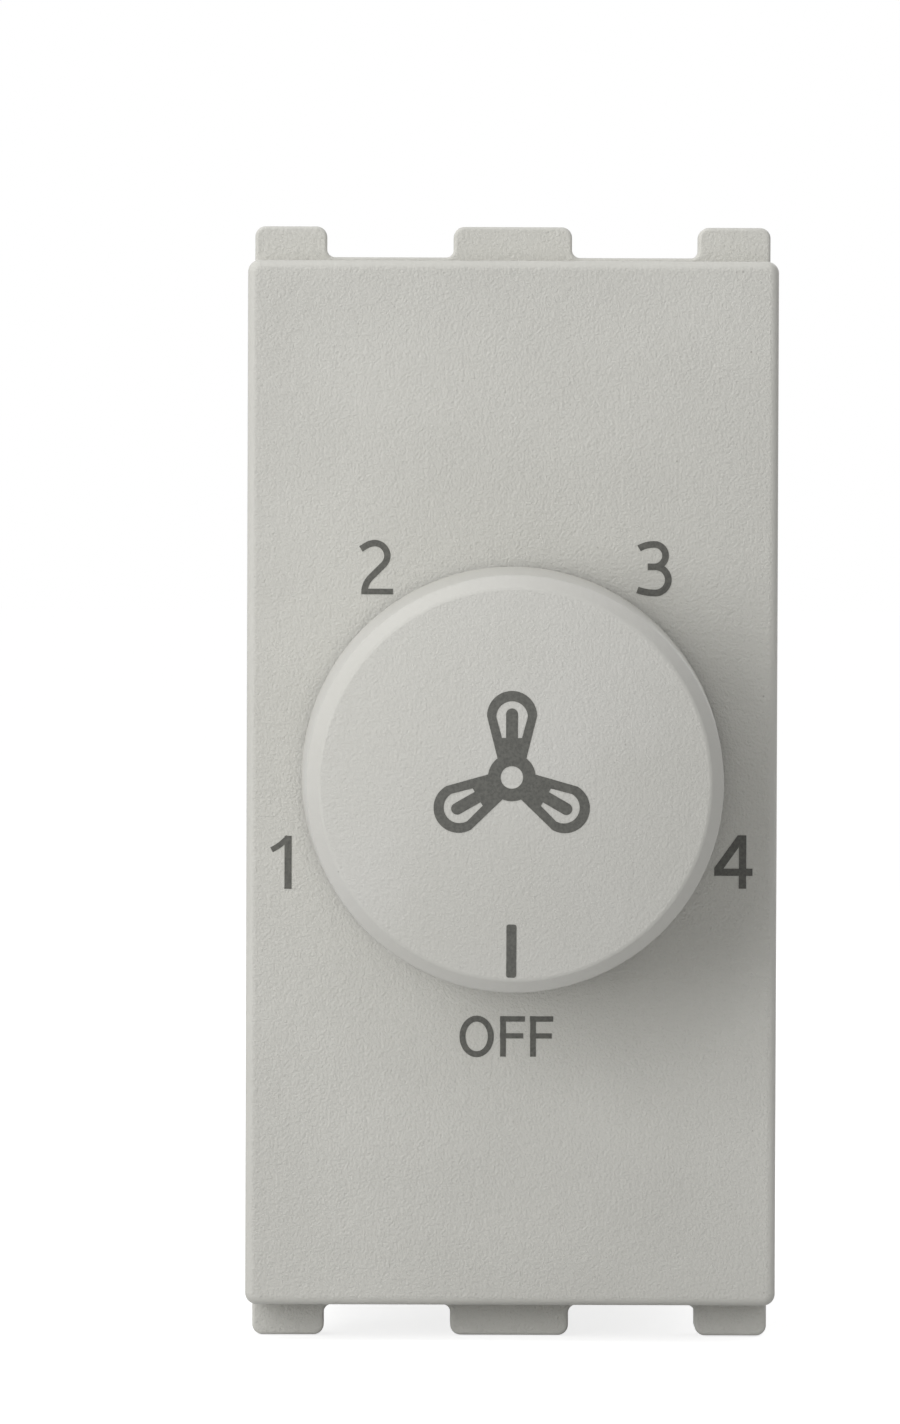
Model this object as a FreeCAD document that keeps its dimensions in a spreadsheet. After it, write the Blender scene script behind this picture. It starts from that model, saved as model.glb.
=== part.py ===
"""Fan speed control switch: a one-module rotary step regulator that snaps into a wiring frame.

The face looks along -Y, the module stands along Z, and Y = 0 is the rear of its six clip tabs,
where it seats on the frame. All sizes are in millimetres.
"""

import FreeCAD, Part
import math
import os
import re
import Sketcher

vector = FreeCAD.Vector
doc = FreeCAD.newDocument("fan_speed_switch")

# Driving dimensions
DIMENSIONS = {
    # Front cover: face plate, skirt and clip tabs
    "face_width": 22.8,
    "face_height": 44.9,
    "face_corner": 0.5,
    "face_edge": 0.4,
    "face_thick": 2.0,
    "front_depth": 4.7,
    "lip_depth": 1.5,
    "skirt_inset": 0.28,
    "skirt_wall": 1.0,
    "skirt_end_wall": 1.6,
    "rim_reach": 0.18,
    "tab_reach": 1.5,
    "tab_thick": 2.0,
    "tab_side_width": 3.1,
    "tab_mid_width": 5.1,
    "tab_corner": 0.45,
    "tab_root": 0.35,
    "tab_edge": 0.15,
    "dial_rise": 0.3,
    "collar_radius": 4.8,
    "collar_length": 1.6,
    "pillar_radius": 1.1,
    "pillar_inset": 1.5,
    "pillar_gap": 0.05,
    # Snap fit between cover and housing
    "slide_gap": 0.1,
    "seat_gap": 0.05,
    "snap_spacing": 24.0,
    "snap_length": 3.6,
    "snap_depth": 1.2,
    "snap_reach": 0.8,
    "snap_gap": 0.2,
    "snap_from_seat": 1.0,
    # Rear housing
    "housing_wall": 1.3,
    "housing_corner": 1.2,
    "housing_edge": 0.8,
    "shelf_thick": 1.2,
    "barrier_thick": 1.2,
    "ledge_reach": 1.2,
    "ledge_width": 6.0,
    "ledge_depth": 2.0,
    "wire_radius": 1.6,
    "wire_collar_wall": 1.0,
    "wire_collar_length": 2.4,
    "wire_flare": 0.9,
    "driver_radius": 1.9,
    # Knob
    "knob_radius": 9.04,
    "knob_top_radius": 8.78,
    "knob_height": 10.6,
    "knob_crown": 1.0,
    "knob_gap": 0.4,
    "knob_edge": 0.54,
    "knob_edge_round": 0.25,
    "knob_wall": 1.4,
    "knob_top": 2.3,
    "knob_boss_radius": 4.4,
    "knob_boss_gap": 0.2,
    "knob_rib_thick": 1.0,
    "knob_rib_height": 4.2,
    "knob_rib_count": 6,
    # Rotor
    "shaft_radius": 3.0,
    "running_gap": 0.05,
    "shaft_tip_gap": 0.2,
    "shaft_chamfer": 0.4,
    "flat_distance": 1.9,
    "grip_thick": 0.3,
    "grip_gap": 0.05,
    "grip_width": 3.0,
    "shoulder_radius": 4.2,
    "shoulder_thick": 0.7,
    "thrust_gap": 0.1,
    "wheel_radius": 6.5,
    "wheel_thick": 2.2,
    "hub_radius": 3.4,
    "hub_height": 1.2,
    "pivot_radius": 1.4,
    "pivot_length": 2.4,
    "peg_radius": 0.45,
    "peg_spacing": 4.4,
    # Detents and end stop
    "step_angle": 72.0,
    "speed_count": 4,
    "stop_gap_angle": 1.0,
    "stop_inner": 5.3,
    "stop_outer": 6.3,
    "stop_height": 1.2,
    "stop_gap": 0.3,
    "spring_thick": 0.3,
    "spring_half_length": 7.6,
    "spring_side_gap": 0.1,
    "spring_clear": 0.4,
    "bump_radius": 1.3,
    "notch_gap": 0.2,
    "post_width": 1.4,
    "post_height": 1.2,
    "post_overhang": 0.3,
    # Contacts and board
    "contact_thick": 0.3,
    "contact_width": 3.4,
    "contact_end": 0.9,
    "dome_radius": 0.6,
    "dome_height": 0.55,
    "dome_edge": 0.4,
    "wipe_gap": 0.05,
    "pad_thick": 0.3,
    "pad_radius": 0.9,
    "pad_circle": 4.6,
    "rivet_radius": 0.5,
    "rivet_tail": 0.3,
    "ring_inner": 1.9,
    "ring_outer": 3.1,
    "board_thick": 1.6,
    "board_gap": 0.2,
    "hole_gap": 0.1,
    # Capacitors and resistors
    "capacitor_depth": 17.0,
    "capacitor_gap": 0.3,
    "capacitor_standoff": 0.6,
    "capacitor_edge": 0.6,
    "capacitor_pitch": 20.0,
    "lead_radius": 0.35,
    "surge_radius": 1.6,
    "surge_length": 8.6,
    "bleed_radius": 1.2,
    "bleed_length": 6.2,
    "resistor_waist": 0.25,
    "resistor_cap_length": 1.4,
    "resistor_standoff": 0.3,
    "resistor_lead_run": 1.3,
    "resistor_inset": 4.85,
    "resistor_row_gap": 3.4,
    # Lift-clamp terminals
    "screw_radius": 1.5,
    "screw_head_radius": 2.4,
    "screw_head_height": 1.8,
    "screw_slot_width": 0.8,
    "screw_slot_depth": 0.9,
    "screw_tip_chamfer": 0.3,
    "screw_gap": 0.1,
    "clamp_travel": 2.4,
    "cage_side_gap": 0.3,
    "cage_depth": 6.0,
    "cage_wall": 1.2,
    "cage_nut_thick": 1.4,
    "cage_edge": 0.5,
    "wire_space": 3.0,
    "bar_thick": 1.0,
    "bar_side_gap": 0.25,
    "bar_pin_width": 1.0,
    "bar_pin_spacing": 2.8,
    "bar_gap": 0.2,
}

sheet = doc.addObject("Spreadsheet::Sheet", "dims")
for row, (alias, size) in enumerate(DIMENSIONS.items(), 1):
    sheet.set(f"A{row}", alias)
    sheet.set(f"B{row}", str(size))
    sheet.setAlias(f"B{row}", alias)
doc.recompute()

# Places along Y, each worked out from the piece in front of it
FACE_FRONT = "(-front_depth)"
FACE_BACK = "(-front_depth + face_thick)"
COLLAR_BACK = f"({FACE_BACK} + collar_length)"
WHEEL_FRONT = f"({COLLAR_BACK} + thrust_gap + shoulder_thick)"
WHEEL_BACK = f"({WHEEL_FRONT} + wheel_thick)"
HUB_BACK = f"({WHEEL_BACK} + hub_height)"
CONTACT_BACK = f"({HUB_BACK} + contact_thick)"
PAD_FRONT = f"({CONTACT_BACK} + dome_height + wipe_gap)"
BOARD_FRONT = f"({PAD_FRONT} + pad_thick)"
BOARD_BACK = f"({BOARD_FRONT} + board_thick)"
CAPACITOR_FRONT = f"({BOARD_BACK} + capacitor_standoff)"
CAPACITOR_BACK = f"({CAPACITOR_FRONT} + capacitor_depth)"
HOUSING_FLOOR = f"({CAPACITOR_BACK} + capacitor_gap)"
HOUSING_BACK = f"({HOUSING_FLOOR} + housing_wall)"
HOUSING_RIM = f"({FACE_BACK} + seat_gap)"
KNOB_BACK = f"({FACE_FRONT} - knob_gap)"
KNOB_FRONT = f"({KNOB_BACK} - knob_height)"
KNOB_SHOULDER = f"({KNOB_FRONT} + knob_crown)"
KNOB_UNDERSIDE = f"({KNOB_FRONT} + knob_top)"
BOSS_BACK = f"({KNOB_BACK} - knob_boss_gap)"
SHAFT_TIP = f"({KNOB_UNDERSIDE} + shaft_tip_gap)"
CAGE_BACK = f"({HOUSING_FLOOR} - wire_collar_length - bar_gap)"
CAGE_MIDDLE = f"({CAGE_BACK} - cage_depth / 2)"

# Widths and heights shared by pieces that fit into each other
SKIRT_WIDTH = "(face_width - 2 * skirt_inset)"
WELL_WIDTH = f"({SKIRT_WIDTH} - 2 * skirt_wall)"
WELL_HEIGHT = "(face_height - 2 * skirt_end_wall)"
HOUSING_WIDTH = f"({WELL_WIDTH} - 2 * slide_gap)"
HOUSING_HEIGHT = f"({WELL_HEIGHT} - 2 * slide_gap)"
ROOM_WIDTH = f"({HOUSING_WIDTH} - 2 * housing_wall)"
ROOM_HEIGHT = f"({HOUSING_HEIGHT} - 2 * housing_wall)"
CHAMBER_WIDTH = f"(({ROOM_WIDTH} - barrier_thick) / 2)"
TERMINAL_X = f"((barrier_thick + {CHAMBER_WIDTH}) / 2)"
CAGE_WIDTH = f"({CHAMBER_WIDTH} - 2 * cage_side_gap)"
WINDOW_WIDTH = f"({CAGE_WIDTH} - 2 * cage_wall)"
CAPACITOR_WIDTH = f"(({ROOM_WIDTH} - 3 * capacitor_gap) / 2)"
CAPACITOR_X = f"(({CAPACITOR_WIDTH} + capacitor_gap) / 2)"
PILLAR_X = f"({ROOM_WIDTH} / 2 - pillar_inset)"
PILLAR_Z = f"({ROOM_HEIGHT} / 2 - pillar_inset)"
LEDGE_Z = f"({ROOM_HEIGHT} / 2 - ledge_reach / 2)"

# The terminal stack, from the bottom wall of the housing upwards
HEAD_BOTTOM = f"(-{ROOM_HEIGHT} / 2 + screw_gap)"
HEAD_TOP = f"({HEAD_BOTTOM} + screw_head_height)"
CAGE_BOTTOM = f"({HEAD_TOP} + clamp_travel + screw_gap)"
WINDOW_BOTTOM = f"({CAGE_BOTTOM} + cage_nut_thick)"
BAR_BOTTOM = f"({WINDOW_BOTTOM} + bar_gap)"
BAR_MIDDLE = f"({BAR_BOTTOM} + bar_thick / 2)"
BAR_TOP = f"({BAR_BOTTOM} + bar_thick)"
WINDOW_TOP = f"({BAR_TOP} + wire_space)"
CAGE_TOP = f"({WINDOW_TOP} + cage_wall)"
SHELF_BOTTOM = f"({CAGE_TOP} + cage_side_gap)"
SHELF_TOP = f"({SHELF_BOTTOM} + shelf_thick)"
WIRE_Z = f"(({BAR_TOP} + {WINDOW_TOP}) / 2)"
CAPACITOR_BOTTOM = f"({SHELF_TOP} + capacitor_gap)"
CAPACITOR_TOP = f"({ROOM_HEIGHT} / 2 - ledge_reach - capacitor_gap)"
CAPACITOR_Z = f"(({CAPACITOR_BOTTOM} + {CAPACITOR_TOP}) / 2)"
CAPACITOR_LENGTH = f"({CAPACITOR_TOP} - {CAPACITOR_BOTTOM})"

# The bridge's inner dome wipes the middle of the common ring
RING_MIDDLE = "((ring_inner + ring_outer) / 2)"

# The detent spring's strip lies just above the notched wheel
STRIP_BOTTOM = "(wheel_radius + spring_clear)"
STRIP_TOP = f"({STRIP_BOTTOM} + spring_thick)"
POST_X = "(spring_half_length - post_width / 2 + post_overhang)"

SIDES = {"line": "-1", "load": "1"}
ENDS = ("-1", "1")


def bound(text):
    """The expression with each dimension's name pointed at its cell."""
    return re.sub(r"[a-z_]{4,}", lambda m: f"dims.{m[0]}" if m[0] in DIMENSIONS else m[0], text)


def value(text):
    """The expression's number, as the sheet gives it."""
    return float(sheet.evalExpression(bound(text)))


def bind(obj, prop, text):
    obj.setExpression(prop, bound(text))


def body(name, x="0", y="0", z="0"):
    """A new piece, placed at a point of the module."""
    made = doc.addObject("PartDesign::Body", name)
    made.Label = name
    for axis, text in zip("xyz", (x, y, z)):
        bind(made, f"Placement.Base.{axis}", text)
    return made


def origin_feature(piece, role):
    return next(f for f in piece.Origin.OriginFeatures if f.Role == role)


def sketch(piece, name, plane, at="0"):
    """An empty sketch on an origin plane: XZ at Y = at, XY at Z = at, or YZ at X = at."""
    made = piece.newObject("Sketcher::SketchObject", f"{piece.Label}_{name}_sketch")
    made.AttachmentSupport = [(origin_feature(piece, f"{plane}_Plane"), "")]
    made.MapMode = "FlatFace"
    bind(made, "AttachmentOffset.Base.z", f"-{at}" if plane == "XZ" else at)
    return made


def pin_point(drawing, geometry, point, x, y):
    """Holds a sketch point at the two expressions."""
    for kind, text in (("DistanceX", x), ("DistanceY", y)):
        number = drawing.addConstraint(Sketcher.Constraint(kind, -1, 1, geometry, point, value(text)))
        bind(drawing, f"Constraints[{number}]", text)


def polygon(drawing, corners, crowned=False):
    """A closed outline of straight lines through the corners; the first side of a crowned one is an arc."""
    places = [vector(value(x), value(y), 0) for x, y in corners]
    first = drawing.GeometryCount
    count = len(corners)
    for i, start in enumerate(places):
        side = Part.LineSegment(start, places[(i + 1) % count])
        drawing.addGeometry(crown_arc(start, places[1]) if crowned and i == 0 else side, False)
    if crowned:
        drawing.addConstraint(Sketcher.Constraint("PointOnObject", first, 3, -2))
    for i in range(count):
        drawing.addConstraint(Sketcher.Constraint("Coincident", first + i, 2, first + (i + 1) % count, 1))
    for i, (x, y) in enumerate(corners):
        pin_point(drawing, first + i, 1, x, y)


def crown_arc(top, edge):
    """The arc that leaves the upright axis level at its top and falls away to the edge."""
    fall = edge - top
    radius = fall.dot(fall) / (2 * fall.y)
    round_about = Part.Circle(top + vector(0, radius, 0), vector(0, 0, 1), radius)
    return Part.ArcOfCircle(round_about, -math.pi / 2, math.asin(fall.x / radius) - math.pi / 2)


def rectangle(drawing, x, y, width, height):
    """A rectangle about its centre."""
    left, right = f"{x} - {width} / 2", f"{x} + {width} / 2"
    low, high = f"{y} - {height} / 2", f"{y} + {height} / 2"
    polygon(drawing, [(left, low), (right, low), (right, high), (left, high)])


def circle(drawing, x, y, radius):
    centre = vector(value(x), value(y), 0)
    number = drawing.addGeometry(Part.Circle(centre, vector(0, 0, 1), value(radius)), False)
    pin_point(drawing, number, 3, x, y)
    size = drawing.addConstraint(Sketcher.Constraint("Radius", number, value(radius)))
    bind(drawing, f"Constraints[{size}]", radius)


def extrude(piece, kind, drawing, length, backwards, symmetric=False):
    made = piece.newObject(f"PartDesign::{kind}", drawing.Name.replace("_sketch", ""))
    made.Profile = drawing
    bind(made, "Length", length)
    made.Reversed = backwards
    if symmetric:
        made.SideType = "Symmetric"
    drawing.Visibility = False
    doc.recompute()
    return made


def pad(piece, drawing, length, backwards=False, symmetric=False):
    """Adds material along the sketch's normal: -Y on XZ, +Z on XY, +X on YZ. Backwards is against it."""
    return extrude(piece, "Pad", drawing, length, backwards, symmetric)


def pocket(piece, drawing, length, backwards=False, symmetric=False):
    """Cuts against the sketch's normal: +Y on XZ, -Z on XY, -X on YZ. Backwards is along it."""
    before = piece.Shape.Volume
    made = extrude(piece, "Pocket", drawing, length, backwards, symmetric)
    if made.Shape.Volume >= before:
        raise ValueError(f"{made.Name} cuts nothing")
    return made


def revolve(piece, drawing, axis="V_Axis"):
    made = piece.newObject("PartDesign::Revolution", drawing.Name.replace("_sketch", ""))
    made.Profile = drawing
    made.ReferenceAxis = (drawing, [axis])
    made.Angle = 360.0
    drawing.Visibility = False
    doc.recompute()
    return made


def soften(piece, name, size, chosen, kind="Fillet"):
    """Rounds, or chamfers, the chosen edges of the piece as it stands."""
    base = piece.Tip
    edges = [f"Edge{i}" for i, edge in enumerate(base.Shape.Edges, 1) if chosen(edge)]
    if not edges:
        raise ValueError(f"{piece.Label} has no edges for {name}")
    made = piece.newObject(f"PartDesign::{kind}", f"{piece.Label}_{name}")
    made.Base = (base, edges)
    bind(made, "Radius" if kind == "Fillet" else "Size", size)
    doc.recompute()
    if made.Shape.isNull() or not made.Shape.isValid():
        raise ValueError(f"{made.Name} failed")
    return made


def repeat_round(piece, feature, count):
    """Copies a feature evenly round the piece's Y axis."""
    made = piece.newObject("PartDesign::PolarPattern", f"{feature.Name}_pattern")
    made.Originals = [feature]
    made.Axis = (origin_feature(piece, "Y_Axis"), [""])
    made.Angle = 360.0
    bind(made, "Occurrences", count)
    piece.Tip = made
    doc.recompute()
    return made


def near(a, b):
    return abs(a - b) < 1e-4


def runs_along(edge, axis):
    """Is the edge a straight line along that axis?"""
    if not isinstance(edge.Curve, Part.Line):
        return False
    return abs(getattr(edge.Curve.Direction, axis)) > 0.9999


def lies_at(edge, y):
    """Does the whole edge lie at that Y?"""
    return near(edge.BoundBox.YMin, y) and near(edge.BoundBox.YMax, y)


def is_circle(edge, radius):
    return isinstance(edge.Curve, Part.Circle) and near(edge.Curve.Radius, radius)


def sector(drawing, middle, half_angle):
    """A stop block between the two stop radii, spread about an angle of the dial."""
    def corner(radius, angle):
        return f"{radius} * cos({angle})", f"{radius} * sin({angle})"

    low, high = f"({middle} - {half_angle})", f"({middle} + {half_angle})"
    polygon(drawing, [
        corner("stop_inner", low), corner("stop_outer", low),
        corner("stop_outer", high), corner("stop_inner", high),
    ])


# Angles of the dial, counter-clockwise from +X as seen from the front
POINTER_ANGLE = "270"
SPARE_ANGLE = "(360 - speed_count * step_angle)"
STOP_HALF = f"(({SPARE_ANGLE} / 2 - stop_gap_angle) / 2)"
LUG_ANGLE = f"({POINTER_ANGLE} - {SPARE_ANGLE} / 2)"


def front_cover():
    """The moulded face with its skirt, six clip tabs and everything that stands on its inside."""
    cover = body("front_cover")
    face = sketch(cover, "face", "XZ", "(-front_depth + lip_depth)")
    rectangle(face, "0", "0", "face_width", "face_height")
    pad(cover, face, "lip_depth")
    skirt = sketch(cover, "skirt", "XZ")
    rectangle(skirt, "0", "0", SKIRT_WIDTH, "face_height")
    pad(cover, skirt, "front_depth - lip_depth")
    rim = sketch(cover, "rim", "XZ")
    rectangle(rim, "0", "0", SKIRT_WIDTH, "(face_height + 2 * rim_reach)")
    pad(cover, rim, "tab_thick")

    # Each strip runs from a bottom tab to the top tab above it
    tabs = sketch(cover, "tabs", "XZ")
    tab_span = "(face_height + 2 * tab_reach)"
    side_tab_x = f"(({SKIRT_WIDTH} - tab_side_width) / 2)"
    rectangle(tabs, "0", "0", "tab_mid_width", tab_span)
    for side in ENDS:
        rectangle(tabs, f"{side} * {side_tab_x}", "0", "tab_side_width", tab_span)
    pad(cover, tabs, "tab_thick")

    half_width, half_height = value("face_width / 2"), value("face_height / 2")
    half_skirt = value(f"{SKIRT_WIDTH} / 2")
    rim_edge, tab_tip = value("face_height / 2 + rim_reach"), value(f"{tab_span} / 2")
    soften(cover, "tab_corners", "tab_corner",
           lambda e: runs_along(e, "y") and near(abs(e.CenterOfMass.z), tab_tip))
    soften(cover, "tab_roots", "tab_root",
           lambda e: runs_along(e, "y") and near(abs(e.CenterOfMass.z), rim_edge)
           and abs(e.CenterOfMass.x) < half_skirt - 1e-3)
    soften(cover, "face_corners", "face_corner",
           lambda e: runs_along(e, "y") and near(abs(e.CenterOfMass.x), half_width))
    soften(cover, "face_edges", "face_edge", lambda e: lies_at(e, value(FACE_FRONT)))
    soften(cover, "tab_edges", "tab_edge",
           lambda e: lies_at(e, value("-tab_thick")) and abs(e.CenterOfMass.z) > half_height + 1e-3)

    well = sketch(cover, "well", "XZ")
    rectangle(well, "0", "0", WELL_WIDTH, WELL_HEIGHT)
    pocket(cover, well, "front_depth - face_thick", backwards=True)

    windows = sketch(cover, "snap_windows", "YZ")
    for end in ENDS:
        rectangle(windows, "(-snap_from_seat - snap_depth / 2)", f"{end} * snap_spacing / 2",
                  "(snap_depth + 2 * snap_gap)", "(snap_length + 2 * snap_gap)")
    pocket(cover, windows, SKIRT_WIDTH, symmetric=True)

    collar = sketch(cover, "collar", "XZ", FACE_BACK)
    circle(collar, "0", "dial_rise", "collar_radius")
    pad(cover, collar, "collar_length", backwards=True)

    # The end stop stands straight below the dial
    stop = sketch(cover, "end_stop", "XZ", FACE_BACK)
    bind(stop, "AttachmentOffset.Base.y", "dial_rise")
    sector(stop, POINTER_ANGLE, STOP_HALF)
    pad(cover, stop, f"{WHEEL_FRONT} - {FACE_BACK} - stop_gap", backwards=True)

    # Two jaws at each end hold the detent spring's strip
    posts = sketch(cover, "spring_posts", "XZ", FACE_BACK)
    for end in ENDS:
        post_x = f"{end} * {POST_X}"
        above = f"({STRIP_TOP} + dial_rise + running_gap + post_height / 2)"
        below = f"({STRIP_BOTTOM} + dial_rise - running_gap - post_height / 2)"
        rectangle(posts, post_x, above, "post_width", "post_height")
        rectangle(posts, post_x, below, "post_width", "post_height")
    pad(cover, posts, f"{WHEEL_BACK} - {FACE_BACK}", backwards=True)

    pillars = sketch(cover, "board_pillars", "XZ", FACE_BACK)
    for side in ENDS:
        for end in ENDS:
            circle(pillars, f"{side} * {PILLAR_X}", f"{end} * {PILLAR_Z}", "pillar_radius")
    pad(cover, pillars, f"{BOARD_FRONT} - pillar_gap - {FACE_BACK}", backwards=True)

    bearing = sketch(cover, "bearing", "XZ", COLLAR_BACK)
    circle(bearing, "0", "dial_rise", "(shaft_radius + running_gap)")
    pocket(cover, bearing, "face_thick + collar_length", backwards=True)
    return cover


def rear_housing():
    """The moulded box behind the face, with the terminal chambers at its foot."""
    housing = body("rear_housing")
    outside = sketch(housing, "outside", "XZ", HOUSING_BACK)
    rectangle(outside, "0", "0", HOUSING_WIDTH, HOUSING_HEIGHT)
    pad(housing, outside, f"{HOUSING_BACK} - {HOUSING_RIM}")
    soften(housing, "corners", "housing_corner", lambda e: runs_along(e, "y"))
    soften(housing, "back_edges", "housing_edge", lambda e: lies_at(e, value(HOUSING_BACK)))

    room = sketch(housing, "room", "XZ", HOUSING_RIM)
    rectangle(room, "0", "0", ROOM_WIDTH, ROOM_HEIGHT)
    pocket(housing, room, f"{HOUSING_FLOOR} - {HOUSING_RIM}")

    shelf = sketch(housing, "shelf", "XZ", HOUSING_FLOOR)
    rectangle(shelf, "0", f"({SHELF_BOTTOM} + {SHELF_TOP}) / 2", ROOM_WIDTH, "shelf_thick")
    pad(housing, shelf, f"{HOUSING_FLOOR} - {BOARD_BACK} - ledge_depth")
    barrier = sketch(housing, "barrier", "XZ", HOUSING_FLOOR)
    rectangle(barrier, "0", f"({SHELF_BOTTOM} - {ROOM_HEIGHT} / 2) / 2",
              "barrier_thick", f"({SHELF_BOTTOM} + {ROOM_HEIGHT} / 2)")
    pad(housing, barrier, f"{HOUSING_FLOOR} - {BOARD_BACK} - ledge_depth")
    ledges = sketch(housing, "board_ledges", "XZ", BOARD_BACK)
    for end in ENDS:
        rectangle(ledges, "0", f"{end} * {LEDGE_Z}", "ledge_width", "ledge_reach")
    pad(housing, ledges, "ledge_depth", backwards=True)

    collars = sketch(housing, "wire_collars", "XZ", HOUSING_FLOOR)
    for side in SIDES.values():
        circle(collars, f"{side} * {TERMINAL_X}", WIRE_Z, "(wire_radius + wire_collar_wall)")
    pad(housing, collars, "wire_collar_length")
    wire_holes = sketch(housing, "wire_holes", "XZ", HOUSING_BACK)
    for side in SIDES.values():
        circle(wire_holes, f"{side} * {TERMINAL_X}", WIRE_Z, "wire_radius")
    pocket(housing, wire_holes, "housing_wall + wire_collar_length", backwards=True)
    soften(housing, "wire_flares", "wire_flare",
           lambda e: is_circle(e, value("wire_radius")) and lies_at(e, value(HOUSING_BACK)), "Chamfer")

    driver_holes = sketch(housing, "driver_holes", "XY", f"(-{HOUSING_HEIGHT} / 2)")
    for side in SIDES.values():
        circle(driver_holes, f"{side} * {TERMINAL_X}", CAGE_MIDDLE, "driver_radius")
    pocket(housing, driver_holes, "housing_wall", backwards=True)

    # Each snap is a wedge that rises towards the seat and ends in a square locking face
    snaps = sketch(housing, "snaps", "XY", "(snap_spacing / 2)")
    wall = f"({HOUSING_WIDTH} / 2)"
    for side in ENDS:
        polygon(snaps, [
            (f"{side} * ({wall} - slide_gap)", "-snap_from_seat - snap_depth"),
            (f"{side} * ({wall} + snap_reach)", "-snap_from_seat"),
            (f"{side} * ({wall} - slide_gap)", "-snap_from_seat"),
        ])
    upper_snaps = pad(housing, snaps, "snap_length", symmetric=True)
    lower_snaps = housing.newObject("PartDesign::Mirrored", "rear_housing_lower_snaps")
    lower_snaps.Originals = [upper_snaps]
    lower_snaps.MirrorPlane = (origin_feature(housing, "XY_Plane"), [""])
    housing.Tip = lower_snaps
    doc.recompute()
    return housing


def knob():
    """The dial cap: a drafted shell, crowned and bevelled in front, with a ribbed boss for the shaft."""
    cap = body("knob", z="dial_rise")
    section = sketch(cap, "section", "XY")
    under_radius = "(knob_top_radius - knob_wall)"
    polygon(section, [
        ("0", KNOB_FRONT), ("knob_top_radius", KNOB_SHOULDER), ("knob_radius", KNOB_BACK),
        ("knob_radius - knob_wall", KNOB_BACK), (under_radius, KNOB_UNDERSIDE),
        ("knob_boss_radius", KNOB_UNDERSIDE), ("knob_boss_radius", BOSS_BACK), ("0", BOSS_BACK),
    ], crowned=True)
    revolve(cap, section)
    soften(cap, "rim", "knob_edge",
           lambda e: lies_at(e, value(KNOB_SHOULDER)) and is_circle(e, value("knob_top_radius")), "Chamfer")
    inner, rear = value("knob_top_radius - 2 * knob_edge"), value(f"{KNOB_SHOULDER} + 2 * knob_edge")
    soften(cap, "rim_round", "knob_edge_round",
           lambda e: e.BoundBox.YLength < 1e-4 and e.BoundBox.XLength > 2 * inner and e.BoundBox.YMax < rear)

    rib = sketch(cap, "rib", "XZ", KNOB_UNDERSIDE)
    # Each end of a rib sinks half a wall into the boss and the drafted shell
    rib_span = f"({under_radius} - knob_boss_radius + knob_wall)"
    rectangle(rib, f"(knob_boss_radius + {under_radius}) / 2", "0", rib_span, "knob_rib_thick")
    repeat_round(cap, pad(cap, rib, "knob_rib_height", backwards=True), "knob_rib_count")

    bore = sketch(cap, "bore", "XZ", BOSS_BACK)
    flat_cut(bore, "(shaft_radius + running_gap)", "(flat_distance + grip_thick + 2 * grip_gap)")
    pocket(cap, bore, f"{BOSS_BACK} - {KNOB_UNDERSIDE}", backwards=True)
    return cap


def flat_cut(drawing, radius, flat):
    """A round outline with a flat across its top, as a D shaft has."""
    size, height = value(radius), value(flat)
    half = (size**2 - height**2) ** 0.5
    right, left = vector(half, height, 0), vector(-half, height, 0)
    arc = drawing.addGeometry(Part.Arc(left, vector(0, -size, 0), right), False)
    line = drawing.addGeometry(Part.LineSegment(left, right), False)
    drawing.addConstraint(Sketcher.Constraint("Coincident", arc, 3, -1, 1))
    drawing.addConstraint(Sketcher.Constraint("Coincident", arc, 1, line, 1))
    drawing.addConstraint(Sketcher.Constraint("Coincident", arc, 2, line, 2))
    drawing.addConstraint(Sketcher.Constraint("Horizontal", line))
    across = drawing.addConstraint(Sketcher.Constraint("DistanceY", -1, 1, line, 1, height))
    bind(drawing, f"Constraints[{across}]", flat)
    round_size = drawing.addConstraint(Sketcher.Constraint("Radius", arc, size))
    bind(drawing, f"Constraints[{round_size}]", radius)


def knob_grip_spring():
    """The steel leaf between the shaft's flat and the knob's bore, hooked over the boss."""
    leaf = body("knob_grip_spring", z="dial_rise")
    low = "(flat_distance + grip_gap)"
    high = f"({low} + grip_thick)"
    hook_top = f"({high} + grip_thick)"
    front, hook_front = f"({SHAFT_TIP} + shaft_chamfer)", f"({BOSS_BACK} + grip_gap)"
    side = sketch(leaf, "side", "YZ")
    polygon(side, [
        (front, low), (KNOB_BACK, low), (KNOB_BACK, hook_top),
        (hook_front, hook_top), (hook_front, high), (front, high),
    ])
    pad(leaf, side, "grip_width", symmetric=True)
    return leaf


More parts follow.
